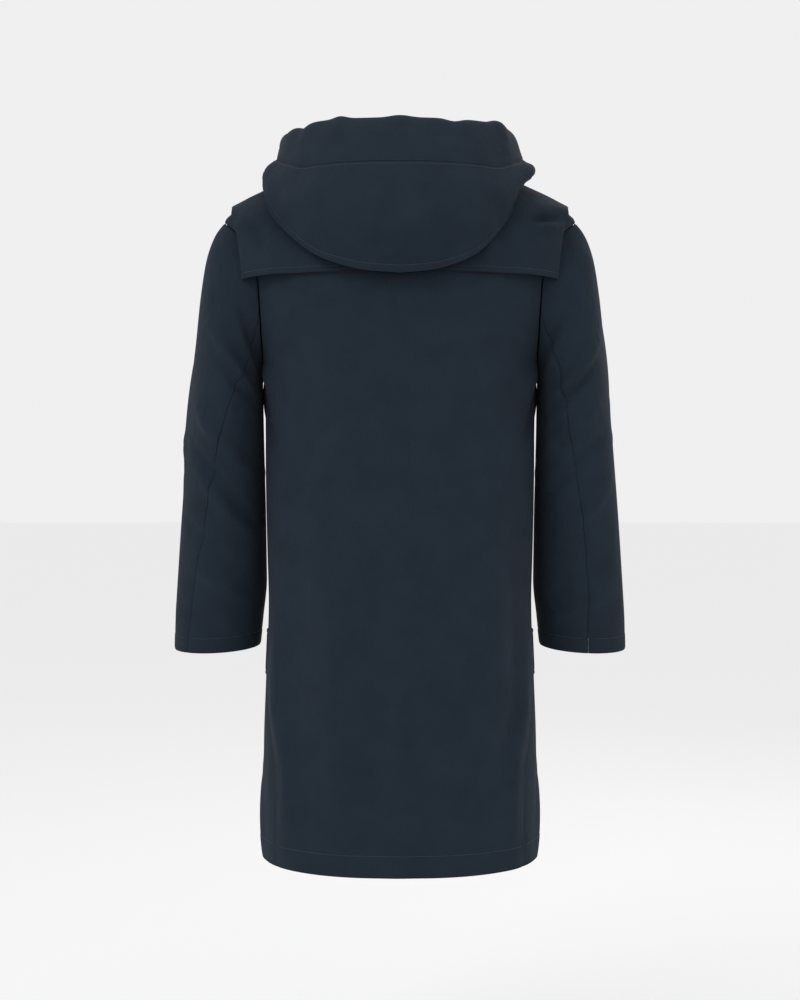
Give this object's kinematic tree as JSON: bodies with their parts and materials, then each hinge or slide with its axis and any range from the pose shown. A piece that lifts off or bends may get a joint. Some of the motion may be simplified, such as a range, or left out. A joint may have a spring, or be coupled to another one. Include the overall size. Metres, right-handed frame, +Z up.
{
  "type": "hooded duffle coat",
  "caption": "Knee-length hooded duffle coat in dark cloth, filled out and hollow, with a storm yoke, two-piece sleeves, patch pockets and toggle fastenings.",
  "frame": {"origin": "the middle of the neck, level with the inner ends of the shoulder seams, where the wearer's shoulders carry the coat", "axes": "+X is the wearer's left, +Y is backwards, out of the coat's back, and +Z is up"},
  "size_m": [0.6806, 0.344, 1.0484],
  "materials": {
    "cloth": "matt, dense, brushed coating cloth in dark navy",
    "leather": "smooth dark leather",
    "horn": "polished dark brown toggles"
  },
  "bodies": {
    "root": {"back": "cloth", "front_left": "cloth", "front_right": "cloth", "yoke_back": "cloth", "yoke_front_left": "cloth", "yoke_front_right": "cloth", "sleeve_left_upper": "cloth", "sleeve_left_under": "cloth", "sleeve_right_upper": "cloth", "sleeve_right_under": "cloth", "hood_under": "cloth", "hood_back": "cloth", "hood_brim": "cloth", "pocket_left": "cloth", "pocket_flap_left": "cloth", "pocket_right": "cloth", "pocket_flap_right": "cloth", "tab_right_1": "leather", "thong_1": "leather", "tab_left_1": "leather", "loop_1": "leather", "toggle_1": "horn", "tab_right_2": "leather", "thong_2": "leather", "tab_left_2": "leather", "loop_2": "leather", "toggle_2": "horn", "tab_right_3": "leather", "thong_3": "leather", "tab_left_3": "leather", "loop_3": "leather", "toggle_3": "horn", "tab_right_4": "leather", "thong_4": "leather", "tab_left_4": "leather", "loop_4": "leather", "toggle_4": "horn"}
  },
  "joints": []
}
